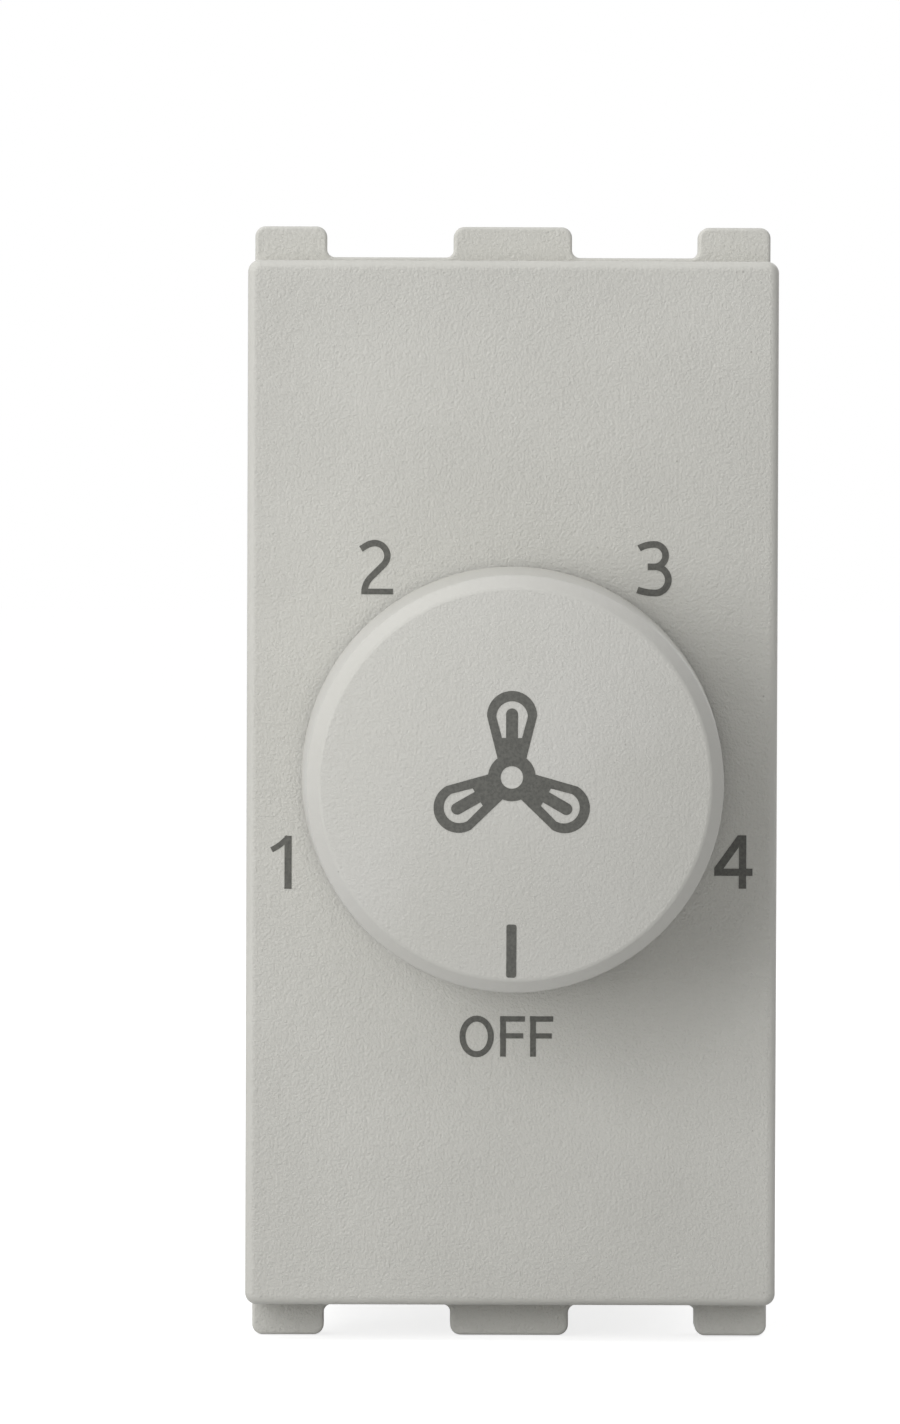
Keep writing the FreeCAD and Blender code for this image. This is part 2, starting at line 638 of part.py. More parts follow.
def rotor():
    """The moulded spindle: D shaft, thrust shoulder, notched detent wheel, contact hub and rear pivot."""
    spindle = body("rotor", z="dial_rise")
    section = sketch(spindle, "section", "XY")
    shoulder_front = f"({WHEEL_FRONT} - shoulder_thick)"
    polygon(section, [
        ("0", SHAFT_TIP), ("shaft_radius - shaft_chamfer", SHAFT_TIP),
        ("shaft_radius", f"{SHAFT_TIP} + shaft_chamfer"), ("shaft_radius", shoulder_front),
        ("shoulder_radius", shoulder_front), ("shoulder_radius", WHEEL_FRONT),
        ("wheel_radius", WHEEL_FRONT), ("wheel_radius", WHEEL_BACK),
        ("hub_radius", WHEEL_BACK), ("hub_radius", HUB_BACK),
        ("pivot_radius", HUB_BACK), ("pivot_radius", f"{HUB_BACK} + pivot_length"),
        ("0", f"{HUB_BACK} + pivot_length"),
    ])
    revolve(spindle, section)

    flat = sketch(spindle, "flat", "XZ", SHAFT_TIP)
    rectangle(flat, "0", "(flat_distance + shaft_radius / 2)", "2 * shaft_radius", "shaft_radius")
    pocket(spindle, flat, f"{FACE_FRONT} - {SHAFT_TIP}")

    notch = sketch(spindle, "notch", "XZ", WHEEL_FRONT)
    circle(notch, "0", STRIP_BOTTOM, "(bump_radius + notch_gap)")
    repeat_round(spindle, pocket(spindle, notch, "wheel_thick"), "speed_count + 1")

    lug = sketch(spindle, "stop_lug", "XZ", WHEEL_FRONT)
    sector(lug, LUG_ANGLE, STOP_HALF)
    pad(spindle, lug, "stop_height")

    pegs = sketch(spindle, "contact_pegs", "XZ", HUB_BACK)
    for side in ENDS:
        circle(pegs, f"{side} * peg_spacing / 2", "0", "peg_radius")
    pad(spindle, pegs, "contact_thick", backwards=True)
    return spindle


def moving_contact():
    """The bronze bridge on the rotor's hub, domed where it wipes the ring and the speed pads."""
    bridge = body("moving_contact", z="dial_rise")
    blade = sketch(bridge, "blade", "XZ", HUB_BACK)
    half = "(contact_width / 2)"
    wide = "(peg_spacing / 2 + 2 * peg_radius)"
    polygon(blade, [
        (f"-{half}", "-pad_circle - contact_end"), (half, "-pad_circle - contact_end"),
        (half, f"-{half}"), (wide, f"-{half}"), (wide, half), (half, half),
        (half, f"{RING_MIDDLE} + contact_end"), (f"-{half}", f"{RING_MIDDLE} + contact_end"),
        (f"-{half}", half), (f"-{wide}", half), (f"-{wide}", f"-{half}"), (f"-{half}", f"-{half}"),
    ])
    pad(bridge, blade, "contact_thick", backwards=True)
    holes = sketch(bridge, "holes", "XZ", HUB_BACK)
    circle(holes, "0", "0", "(pivot_radius + hole_gap)")
    for side in ENDS:
        circle(holes, f"{side} * peg_spacing / 2", "0", "(peg_radius + running_gap)")
    pocket(bridge, holes, "contact_thick")
    domes = sketch(bridge, "domes", "XZ", CONTACT_BACK)
    for height in ("-pad_circle", RING_MIDDLE):
        circle(domes, "0", height, "dome_radius")
    pad(bridge, domes, "dome_height", backwards=True)
    soften(bridge, "dome_edges", "dome_edge",
           lambda e: lies_at(e, value(f"{CONTACT_BACK} + dome_height")))
    return bridge


def detent_spring():
    """The leaf that clicks the dial: a strip with a rounded bump that rests in one notch."""
    leaf = body("detent_spring", z="dial_rise")
    front = f"({WHEEL_FRONT} + spring_side_gap)"
    width = "(wheel_thick - 2 * spring_side_gap)"
    strip = sketch(leaf, "strip", "XZ", front)
    rectangle(strip, "0", f"({STRIP_BOTTOM} + {STRIP_TOP}) / 2", "2 * spring_half_length", "spring_thick")
    pad(leaf, strip, width, backwards=True)
    bump = sketch(leaf, "bump", "XZ", front)
    circle(bump, "0", STRIP_BOTTOM, "bump_radius")
    pad(leaf, bump, width, backwards=True)
    inside = sketch(leaf, "bump_inside", "XZ", front)
    circle(inside, "0", STRIP_BOTTOM, "(bump_radius - spring_thick)")
    pocket(leaf, inside, width)
    above = sketch(leaf, "bump_open_side", "XZ", front)
    rectangle(above, "0", f"({STRIP_TOP} + bump_radius / 2)", "2 * bump_radius", "bump_radius")
    pocket(leaf, above, width)
    return leaf


def speed_places():
    """Where the pads of the speeds lie on the board, from 1 to the last."""
    for speed in range(1, int(value("speed_count")) + 1):
        angle = f"({POINTER_ANGLE} - {speed} * step_angle)"
        yield speed, f"(pad_circle * cos({angle}))", f"(dial_rise + pad_circle * sin({angle}))"


def resistor_rows():
    """Each resistor's name, row height, body radius and body length, from the ends of the board inwards."""
    for number in (1, 2):
        row = f"({ROOM_HEIGHT} / 2 - resistor_inset - {number - 1} * resistor_row_gap)"
        yield f"surge_resistor_{number}", row, "surge_radius", "surge_length"
        yield f"bleed_resistor_{number}", f"-{row}", "bleed_radius", "bleed_length"


def contact_board():
    """The circuit board, drilled for the pivot, the contact rivets and every lead."""
    board = body("contact_board")
    outline = sketch(board, "outline", "XZ", BOARD_FRONT)
    rectangle(outline, "0", "0", f"({ROOM_WIDTH} - 2 * board_gap)", f"({ROOM_HEIGHT} - 2 * board_gap)")
    pad(board, outline, "board_thick", backwards=True)

    holes = sketch(board, "holes", "XZ", BOARD_FRONT)
    circle(holes, "0", "dial_rise", "(pivot_radius + running_gap)")
    rivet_hole, lead_hole = "(rivet_radius + running_gap)", "(lead_radius + hole_gap)"
    for end in ENDS:
        circle(holes, "0", f"(dial_rise + {end} * {RING_MIDDLE})", rivet_hole)
    for _, x, z in speed_places():
        circle(holes, x, z, rivet_hole)
    for side in ENDS:
        for end in ENDS:
            lead_z = f"({CAPACITOR_Z} + {end} * capacitor_pitch / 2)"
            circle(holes, f"{side} * {CAPACITOR_X}", lead_z, lead_hole)
            rectangle(holes, f"({side} * {TERMINAL_X} + {end} * bar_pin_spacing / 2)", BAR_MIDDLE,
                      "(bar_pin_width + 2 * hole_gap)", "(bar_thick + 2 * hole_gap)")
        for _, row, _, length in resistor_rows():
            circle(holes, f"{side} * ({length} / 2 + resistor_lead_run)", row, lead_hole)
    pocket(board, holes, "board_thick")
    return board


def common_contact():
    """The brass ring that the bridge never leaves, with two rivets through the board."""
    ring = body("common_contact", z="dial_rise")
    face = sketch(ring, "face", "XZ", PAD_FRONT)
    circle(face, "0", "0", "ring_outer")
    circle(face, "0", "0", "ring_inner")
    pad(ring, face, "pad_thick", backwards=True)
    rivets = sketch(ring, "rivets", "XZ", BOARD_FRONT)
    for end in ENDS:
        circle(rivets, "0", f"{end} * {RING_MIDDLE}", "rivet_radius")
    pad(ring, rivets, "board_thick + rivet_tail", backwards=True)
    return ring


def speed_contact(speed, x, z):
    """One brass rivet whose flat head is a speed's pad."""
    rivet = body(f"speed_contact_{speed}", x=x, z=z)
    section = sketch(rivet, "section", "XY")
    tail = f"({BOARD_BACK} + rivet_tail)"
    polygon(section, [
        ("0", PAD_FRONT), ("pad_radius", PAD_FRONT), ("pad_radius", BOARD_FRONT),
        ("rivet_radius", BOARD_FRONT), ("rivet_radius", tail), ("0", tail),
    ])
    revolve(rivet, section)
    return rivet


def capacitor(name, side):
    """A boxed film capacitor that stands off the board on its two leads."""
    case = body(name, x=f"{side} * {CAPACITOR_X}", z=CAPACITOR_Z)
    box = sketch(case, "box", "XZ", CAPACITOR_BACK)
    rectangle(box, "0", "0", CAPACITOR_WIDTH, CAPACITOR_LENGTH)
    pad(case, box, "capacitor_depth")
    soften(case, "edges", "capacitor_edge",
           lambda e: runs_along(e, "y") or lies_at(e, value(CAPACITOR_BACK)))
    leads = sketch(case, "leads", "XZ", CAPACITOR_FRONT)
    for end in ENDS:
        circle(leads, "0", f"{end} * capacitor_pitch / 2", "lead_radius")
    pad(case, leads, "capacitor_standoff + board_thick")
    return case


def resistor(name, row, radius, length):
    """An axial resistor: bulged ends, a waist between them, and leads bent into the board."""
    made = body(name, y=f"({BOARD_FRONT} - resistor_standoff - {radius})", z=row)
    section = sketch(made, "section", "XY")
    bend = f"({length} / 2 + resistor_lead_run)"
    end, cap = f"({length} / 2)", f"({length} / 2 - resistor_cap_length)"
    waist = f"({radius} - resistor_waist)"
    polygon(section, [
        (f"-{bend}", "0"), (f"-{bend}", "lead_radius"), (f"-{end}", "lead_radius"), (f"-{end}", waist),
        (f"-{cap} - resistor_cap_length / 2", radius), (f"-{cap}", waist),
        (cap, waist), (f"{cap} + resistor_cap_length / 2", radius), (end, waist),
        (end, "lead_radius"), (bend, "lead_radius"), (bend, "0"),
    ])
    revolve(made, section, "H_Axis")
    legs = sketch(made, "legs", "XZ")
    for side in ENDS:
        circle(legs, f"{side} * {bend}", "0", "lead_radius")
    pad(made, legs, f"resistor_standoff + {radius} + board_thick", backwards=True)
    return made


def contact_bar(name, side):
    """The fixed brass bar of a terminal, from its pins in the board to past the cage."""
    bar = body(name, x=f"{side} * {TERMINAL_X}")
    strip = sketch(bar, "strip", "XZ", BOARD_BACK)
    rectangle(strip, "0", BAR_MIDDLE, f"({WINDOW_WIDTH} - 2 * bar_side_gap)", "bar_thick")
    pad(bar, strip, f"{CAGE_BACK} - {BOARD_BACK}", backwards=True)
    pins = sketch(bar, "pins", "XZ", BOARD_BACK)
    for end in ENDS:
        rectangle(pins, f"{end} * bar_pin_spacing / 2", BAR_MIDDLE, "bar_pin_width", "bar_thick")
    pad(bar, pins, "board_thick")
    return bar


def terminal_cage(name, side):
    """The brass box that the screw draws down, so that its roof presses the wire on the bar."""
    cage = body(name, x=f"{side} * {TERMINAL_X}")
    outside = sketch(cage, "outside", "XZ", CAGE_BACK)
    cage_height = f"({CAGE_TOP} - {CAGE_BOTTOM})"
    rectangle(outside, "0", f"({CAGE_BOTTOM} + {CAGE_TOP}) / 2", CAGE_WIDTH, cage_height)
    pad(cage, outside, "cage_depth")
    soften(cage, "folds", "cage_edge", lambda e: runs_along(e, "y"))
    window = sketch(cage, "window", "XZ", CAGE_BACK)
    rectangle(window, "0", f"({WINDOW_BOTTOM} + {WINDOW_TOP}) / 2",
              WINDOW_WIDTH, f"({WINDOW_TOP} - {WINDOW_BOTTOM})")
    pocket(cage, window, "cage_depth", backwards=True)
    nut = sketch(cage, "nut", "XY", CAGE_BOTTOM)
    circle(nut, "0", CAGE_MIDDLE, "(screw_radius + running_gap)")
    pocket(cage, nut, "cage_nut_thick", backwards=True)
    return cage


def terminal_screw(name, side):
    """The slotted screw of a terminal, trapped between the housing's bottom wall and the bar."""
    screw = body(name, x=f"{side} * {TERMINAL_X}", y=CAGE_MIDDLE)
    section = sketch(screw, "section", "XZ")
    tip = f"({BAR_BOTTOM} - screw_gap)"
    polygon(section, [
        ("0", HEAD_BOTTOM), ("screw_head_radius", HEAD_BOTTOM), ("screw_head_radius", HEAD_TOP),
        ("screw_radius", HEAD_TOP), ("screw_radius", f"{tip} - screw_tip_chamfer"),
        ("screw_radius - screw_tip_chamfer", tip), ("0", tip),
    ])
    revolve(screw, section)
    slot = sketch(screw, "slot", "XY", HEAD_BOTTOM)
    rectangle(slot, "0", "0", "2 * screw_head_radius", "screw_slot_width")
    pocket(screw, slot, "screw_slot_depth", backwards=True)
    return screw


pieces = [front_cover(), rear_housing(), knob(), knob_grip_spring(), rotor(), moving_contact(),
          detent_spring(), contact_board(), common_contact()]
pieces += [speed_contact(*place) for place in speed_places()]
pieces += [capacitor("low_speed_capacitor", "-1"), capacitor("mid_speed_capacitor", "1")]
pieces += [resistor(*row) for row in resistor_rows()]
for circuit, circuit_side in SIDES.items():
    pieces += [
        contact_bar(f"{circuit}_contact_bar", circuit_side),
        terminal_cage(f"{circuit}_terminal_cage", circuit_side),
        terminal_screw(f"{circuit}_terminal_screw", circuit_side),
    ]
doc.recompute()

for obj in doc.Objects:
    if {"Invalid", "Error"} & set(obj.State):
        raise RuntimeError(f"{obj.Name} failed: {obj.State}")
for piece in pieces:
    if piece.Shape.isNull() or not piece.Shape.isValid() or not piece.Shape.Solids:
        raise RuntimeError(f"{piece.Label} has no valid solid")

os.makedirs("parts", exist_ok=True)
for piece in pieces:
    piece.Shape.exportStep(f"parts/{piece.Label}.step")
    print(f"{piece.Label}: {len(piece.Shape.Solids)} solid, {piece.Shape.Volume:.1f} mm3")
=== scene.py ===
"""The looks of a fan speed control switch: its finishes, its printed marks and the studio round it."""

import math

import bmesh
import bpy
from mathutils import Matrix, Vector


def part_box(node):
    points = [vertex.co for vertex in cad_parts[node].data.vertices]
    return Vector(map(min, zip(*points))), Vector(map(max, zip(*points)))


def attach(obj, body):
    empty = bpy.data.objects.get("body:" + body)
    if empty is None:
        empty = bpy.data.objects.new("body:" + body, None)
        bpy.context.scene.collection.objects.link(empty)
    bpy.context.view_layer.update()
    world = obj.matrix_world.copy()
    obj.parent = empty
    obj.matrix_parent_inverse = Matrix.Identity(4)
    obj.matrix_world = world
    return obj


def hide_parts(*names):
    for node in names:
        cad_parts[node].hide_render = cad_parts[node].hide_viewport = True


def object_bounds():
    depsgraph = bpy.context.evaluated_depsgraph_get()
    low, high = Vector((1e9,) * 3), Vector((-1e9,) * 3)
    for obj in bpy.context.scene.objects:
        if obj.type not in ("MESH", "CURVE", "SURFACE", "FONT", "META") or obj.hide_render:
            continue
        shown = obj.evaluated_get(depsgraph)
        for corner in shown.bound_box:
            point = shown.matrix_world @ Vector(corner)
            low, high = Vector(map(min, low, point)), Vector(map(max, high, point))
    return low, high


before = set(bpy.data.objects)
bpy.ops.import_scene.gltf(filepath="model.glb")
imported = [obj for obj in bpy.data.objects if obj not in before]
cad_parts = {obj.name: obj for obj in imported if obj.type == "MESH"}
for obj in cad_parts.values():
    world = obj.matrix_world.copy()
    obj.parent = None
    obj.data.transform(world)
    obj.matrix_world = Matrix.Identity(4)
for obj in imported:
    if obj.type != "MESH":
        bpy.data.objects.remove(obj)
cad_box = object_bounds()
bpy.ops.object.select_all(action="DESELECT")

# Front cover
# One moulding in warm grey plastic: face, skirt, rim and six clip tabs.
# The mould's face is spark-eroded, so the flat front has a fine grain, and the rounded edges are smoother.
MM_PER_METRE = 1000
COVER_PALE = (208, 207, 201)
COVER_DEEP = (202, 201, 195)
COVER_SPECK = (173, 171, 165)
COVER_GRAIN = 0.12
COVER_GRAIN_DEPTH = 0.058
CLOUD_SIZE = 9.0
SPECKS_PER_METRE = 620.0
SPECK_EDGE = (0.015, 0.035)
GRAIN_ROUGHNESS = (0.46, 0.6)
EDGE_GRAIN_SHARE = 0.15
FRONT_TO_EDGE = (-0.99, -0.9)


def tint(red, green, blue):
    """A screen colour, 0 to 255, as the linear colour that a shader takes."""
    def linear(level):
        share = level / 255
        return share / 12.92 if share <= 0.04045 else ((share + 0.055) / 1.055) ** 2.4

    return linear(red), linear(green), linear(blue), 1.0


def feed(tree, made, inputs):
    """Sets the inputs of a node, each from a number, a colour or another node's socket."""
    for name, given in inputs.items():
        if isinstance(given, bpy.types.NodeSocket):
            tree.links.new(given, made.inputs[name])
        else:
            made.inputs[name].default_value = given


def node(tree, kind, inputs, **settings):
    """Adds a shader node with its settings and inputs."""
    made = tree.nodes.new(f"ShaderNode{kind}")
    for name, setting in settings.items():
        setattr(made, name, setting)
    feed(tree, made, inputs)
    return made


def new_finish(name):
    """An empty finish: the material, its node tree, its shader and the places on the piece, in metres."""
    material = bpy.data.materials.new(name)
    material.use_nodes = True
    tree = material.node_tree
    return material, tree, tree.nodes["Principled BSDF"], node(tree, "TexCoord", {})


def noise(tree, spot, size, detail=2.0, roughness=0.5):
    """Noise whose lumps are about that many millimetres wide."""
    return node(tree, "TexNoise", {
        "Vector": spot, "Scale": MM_PER_METRE / size, "Detail": detail, "Roughness": roughness,
    }).outputs["Fac"]


def between(tree, factor, low, high, start=0.35, end=0.65):
    """A colour that goes from low to high while the factor goes from start to end."""
    ramp = node(tree, "ValToRGB", {"Fac": factor})
    for stop, position, colour in zip(ramp.color_ramp.elements, (start, end), (low, high)):
        stop.position = position
        stop.color = tint(*colour)
    return ramp.outputs["Color"]


def spread(tree, factor, low, high, start=0.3, end=0.7):
    """A number that goes from low to high while the factor goes from start to end."""
    return node(tree, "MapRange", {
        "Value": factor, "From Min": start, "From Max": end, "To Min": low, "To Max": high,
    }).outputs["Result"]


def over(tree, mask, below, above):
    """One colour laid over another where the mask is 1."""
    return node(tree, "Mix", {0: mask, 6: below, 7: above}, data_type="RGBA").outputs[2]


def relief(tree, height, strength, depth, **below):
    """The normal of bumps that many millimetres deep, on top of another normal where one is given."""
    inputs = {"Height": height, "Strength": strength, "Distance": depth / MM_PER_METRE, **below}
    return node(tree, "Bump", inputs).outputs["Normal"]


def grained_plastic(name, pale, deep, speck, grain_size, grain_depth):
    """Plastic from a spark-eroded mould: fine grain in front, faint clouds of tone and a few specks."""
    material, tree, shader, place = new_finish(name)
    spot = place.outputs["Object"]
    tone = between(tree, noise(tree, spot, CLOUD_SIZE), deep, pale)
    specks = node(tree, "TexVoronoi", {"Vector": spot, "Scale": SPECKS_PER_METRE})
    is_speck = spread(tree, specks.outputs["Distance"], 1.0, 0.0, *SPECK_EDGE)
    grain = noise(tree, spot, grain_size, detail=3.0, roughness=0.6)
    facing = node(tree, "SeparateXYZ", {"Vector": place.outputs["Normal"]}).outputs["Y"]
    strength = spread(tree, facing, 1.0, EDGE_GRAIN_SHARE, *FRONT_TO_EDGE)
    fine = relief(tree, grain, strength, grain_depth)
    swell = noise(tree, spot, 4 * grain_size)
    feed(tree, shader, {
        "Base Color": over(tree, is_speck, tone, tint(*speck)),
        "Roughness": spread(tree, grain, *GRAIN_ROUGHNESS),
        "Normal": relief(tree, swell, 0.5, grain_depth, Normal=fine),
        "Specular IOR Level": 0.4,
    })
    return material


def dress(finish, *names):
    """Gives CAD nodes their finish."""
    for name in names:
        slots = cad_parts[name].data.materials
        slots.clear()
        slots.append(finish)


cover_grain = grained_plastic(
    "cover_grain", COVER_PALE, COVER_DEEP, COVER_SPECK, COVER_GRAIN, COVER_GRAIN_DEPTH)
dress(cover_grain, "front_cover")

# Marks on the face
# The steps 1 to 4 and OFF, pad-printed in dark grey ink on the grain, round the dial.
# Each sign is drawn flat in millimetres with strokes of a pen, welded, and laid on the face as a thin film.
INK_FILM = 0.04
INK_PALE = (103, 103, 98)
INK_DEEP = (84, 84, 80)
INK_GRAIN = 0.13
INK_GRAIN_DEPTH = 0.02
INK_ROUGHNESS = (0.5, 0.65)
PEN_START = 0.01
BEND_STEP = 6
LEAST_BEND_STEPS = 3
RING_SIDES = 72
SEAM = 0.0005
FACE_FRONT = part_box("front_cover")[0].y
LETTER_O = {"x": -1.477, "z": -10.867, "half_width": 0.737, "half_height": 0.894, "thick": 0.258}
# Each stroke: where it starts, its heading in degrees, its width, and its moves
STROKES = {
    "mark_1": [(-9.605, -4.54, 90, 0.305, 2.27),
               (-10.31, -2.866, 28, 0.24, 0.15, (1.6, 14), 0.36)],
    "mark_2": [(-6.516, 10.069, 31.3, 0.275, 0.299, (0.64, -31.3), (0.542, -135), 0.783, (0.894, 45)),
               (-6.489, 8.24, 0, 0.245, 1.35)],
    "mark_3": [(5.425, 10.132, 29, 0.288, 0.04, (1.204, -29), 0.035, (0.482, -180), 0.28),
               (6.082, 9.34, 0, 0.288, 0.04, (0.561, -180), 0.04, (2.15, -19.6))],
    "mark_4": [(8.648, -3.96, 54.4, 0.34, 2.451),
               (9.923, -4.472, 90, 0.318, 2.283),
               (8.712, -3.771, 0, 0.31, 1.634)],
    "mark_off_f": [(-0.343, -11.727, 90, 0.249, 1.733),
                   (-0.473, -10.11, 0, 0.232, 1.066),
                   (-0.471, -10.837, 0, 0.224, 0.989)],
    "mark_off_f_end": [(0.946, -11.727, 90, 0.249, 1.733),
                       (0.815, -10.111, 0, 0.232, 0.989),
                       (0.818, -10.837, 0, 0.224, 0.929)],
}
# The slanted stroke of the 4 is trimmed level with its neighbours: a point of each cut, and the side that goes
FOUR_TRIMS = [((8.712, 0), (-1, 0)), ((0, -2.189), (0, 1)), ((10.076, 0), (1, 0)), ((0, -3.906), (0, -1))]


def select_where(test):
    """Selects the vertices in edit mode whose places pass the test, and what lies between them."""
    bpy.ops.mesh.select_mode(type="VERT")
    bpy.ops.mesh.select_all(action="DESELECT")
    mesh = bmesh.from_edit_mesh(bpy.context.object.data)
    for vertex in mesh.verts:
        vertex.select_set(test(vertex.co))
    mesh.select_flush(True)
    bmesh.update_edit_mesh(bpy.context.object.data)


def alone(piece):
    """Makes the piece the only selected and the active object."""
    bpy.ops.object.select_all(action="DESELECT")
    piece.select_set(True)
    bpy.context.view_layer.objects.active = piece


def stroke(x, z, heading, width, *moves):
    """A flat pen stroke; each move is a length ahead or a (radius, degrees) bend, positive to the left."""
    bpy.ops.mesh.primitive_plane_add(size=width, enter_editmode=True)
    bpy.ops.transform.resize(value=(PEN_START / width, 1, 1))
    bpy.ops.object.mode_set(mode="OBJECT")
    piece = bpy.context.object
    tip = Vector((x, z, 0))
    piece.location = tip
    piece.rotation_euler.z = math.radians(heading)
    bpy.ops.object.transform_apply()
    ahead = Matrix.Rotation(math.radians(heading), 3, "Z") @ Vector((1, 0, 0))
    bpy.ops.object.mode_set(mode="EDIT")
    select_where(lambda place: (place - tip).dot(ahead) > 0)
    for move in moves:
        if isinstance(move, tuple):
            radius, turn = move[0], math.radians(move[1])
            centre = tip + Vector((-ahead.y, ahead.x, 0)) * math.copysign(radius, turn)
            steps = max(LEAST_BEND_STEPS, round(abs(move[1]) / BEND_STEP))
            bpy.ops.mesh.spin(steps=steps, angle=-turn, center=centre, axis=(0, 0, 1))
            tip = centre + Matrix.Rotation(turn, 3, "Z") @ (tip - centre)
            ahead = Matrix.Rotation(turn, 3, "Z") @ ahead
        else:
            bpy.ops.mesh.extrude_region_move(TRANSFORM_OT_translate={"value": ahead * move})
            tip = tip + ahead * move
    bpy.ops.object.mode_set(mode="OBJECT")
    return piece


def ring(x, z, half_width, half_height, thick):
    """A flat oval ring, from a circle whose edge is drawn inwards."""
    bpy.ops.mesh.primitive_circle_add(vertices=RING_SIDES, radius=1)
    piece = bpy.context.object
    piece.scale = (half_width, half_height, 1)
    piece.location = (x, z, 0)
    bpy.ops.object.transform_apply()
    bpy.ops.object.mode_set(mode="EDIT")
    bpy.ops.mesh.select_all(action="SELECT")
    bpy.ops.mesh.extrude_region_move()
    inner = (1 - thick / half_width, 1 - thick / half_height, 1)
    bpy.ops.transform.resize(value=inner, center_override=(x, z, 0))
    bpy.ops.object.mode_set(mode="OBJECT")
    return piece


def trim(piece, place, side):
    """Cuts off what lies past a line through the place, on the side that the arrow points to."""
    alone(piece)
    bpy.ops.object.mode_set(mode="EDIT")
    bpy.ops.mesh.select_all(action="SELECT")
    bpy.ops.mesh.bisect(plane_co=(*place, 0), plane_no=(*side, 0), clear_outer=True)
    bpy.ops.object.mode_set(mode="OBJECT")


def give_depth(piece, depth):
    """Turns a sheet into a film, half on each side of it."""
    alone(piece)
    film = piece.modifiers.new("film", "SOLIDIFY")
    film.thickness = depth
    film.offset = 0
    bpy.ops.object.modifier_apply(modifier=film.name)
    bpy.ops.object.mode_set(mode="EDIT")
    bpy.ops.mesh.select_all(action="SELECT")
    bpy.ops.mesh.normals_make_consistent(inside=False)
    bpy.ops.object.mode_set(mode="OBJECT")
    return piece


def thicken(piece, depth=INK_FILM):
    """Closes the seams of a flat outline and gives it depth."""
    alone(piece)
    bpy.ops.object.mode_set(mode="EDIT")
    bpy.ops.mesh.select_all(action="SELECT")
    bpy.ops.mesh.remove_doubles(threshold=SEAM)
    bpy.ops.object.mode_set(mode="OBJECT")
    return give_depth(piece, depth)


def weld(piece, others, operation="UNION"):
    """Joins the others to the piece, cuts them out of it or keeps what they share, and removes them."""
    for other in others:
        alone(piece)
        seam = piece.modifiers.new("weld", "BOOLEAN")
        seam.operation = operation
        seam.solver = "EXACT"
        seam.object = other
        bpy.ops.object.modifier_apply(modifier=seam.name)
        bpy.data.objects.remove(other)
    return piece


def lay(piece, name, y, z=0.0):
    """Stands a sign that was drawn flat upright on a front, and brings it from millimetres to metres."""
    alone(piece)
    piece.name = name
    piece.scale = [1 / MM_PER_METRE] * 3
    piece.rotation_euler.x = math.radians(90)
    piece.location = (0, y, z)
    bpy.ops.object.transform_apply()
    return piece


def printed_ink(name):
    """Matt pad-printing ink, a little thin on the tops of the grain under it."""
    material, tree, shader, place = new_finish(name)
    grain = noise(tree, place.outputs["Object"], INK_GRAIN, detail=3.0, roughness=0.6)
    feed(tree, shader, {
        "Base Color": between(tree, grain, INK_DEEP, INK_PALE),
        "Roughness": spread(tree, grain, *INK_ROUGHNESS),
        "Normal": relief(tree, grain, 0.8, INK_GRAIN_DEPTH),
        "Specular IOR Level": 0.3,
    })
    return material


ink = printed_ink("dark_grey_ink")
signs = []
for sign, strokes in STROKES.items():
    lines = [stroke(*line) for line in strokes]
    if sign == "mark_4":
        for place, side in FOUR_TRIMS:
            trim(lines[0], place, side)
    films = [thicken(line) for line in lines]
    signs.append(lay(weld(films[0], films[1:]), sign, FACE_FRONT))
signs.append(lay(thicken(ring(**LETTER_O)), "mark_off_o", FACE_FRONT))
for sign in signs:
    sign.data.materials.append(ink)
    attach(sign, "chassis")

# Rotor
# The spindle that the knob turns, moulded in natural nylon with its notched wheel, hub and pivot.
# Nylon is a little waxy and lets some light in.
NYLON_PALE = (232, 226, 208)
NYLON_DEEP = (220, 212, 190)
NYLON_ROUGHNESS = 0.42
NYLON_CLOUD = 5.0
SKIN_SIZE = 0.6
SKIN_DEPTH = 0.02
SKIN_ROUGHNESS_RANGE = 0.06


def satin_plastic(name, pale, deep, roughness, cloud_size):
    """Smooth moulded plastic: faint clouds of tone, and a surface that is slightly uneven from cooling."""
    material, tree, shader, place = new_finish(name)
    spot = place.outputs["Object"]
    clouds = noise(tree, spot, cloud_size, detail=3.0)
    skin = noise(tree, spot, SKIN_SIZE, detail=3.0)
    smooth, rough = roughness - SKIN_ROUGHNESS_RANGE, roughness + SKIN_ROUGHNESS_RANGE
    feed(tree, shader, {
        "Base Color": between(tree, clouds, deep, pale),
        "Roughness": spread(tree, skin, smooth, rough),
        "Normal": relief(tree, skin, 0.5, SKIN_DEPTH),
    })
    return material, shader


nylon, nylon_shader = satin_plastic(
    "natural_nylon", NYLON_PALE, NYLON_DEEP, NYLON_ROUGHNESS, NYLON_CLOUD)
feed(nylon.node_tree, nylon_shader, {"Subsurface Weight": 0.08, "Subsurface Scale": 0.001})
dress(nylon, "rotor")

# Springs and contacts
# Stamped from rolled strip: stainless steel for the detent leaf and the knob's grip leaf, phosphor bronze
# for the wiper, brass for the riveted ring and pads. Rolling leaves fine lines along the strip.
STEEL_TONES = ((176, 177, 179), (150, 151, 154))
STEEL_ROUGHNESS = 0.32
STEEL_STRETCH = (12, 1, 1)
BRONZE_TONES = ((214, 160, 112), (186, 130, 84))
BRONZE_ROUGHNESS = 0.34
BRONZE_STRETCH = (1, 1, 10)
BRASS_TONES = ((222, 190, 118), (196, 160, 88))
BRASS_ROUGHNESS = 0.3
BRASS_STRETCH = (8, 1, 1)
ROLLED_LINE = 0.12
ROLLED_DEPTH = 0.01
HANDLED_SIZE = 1.6


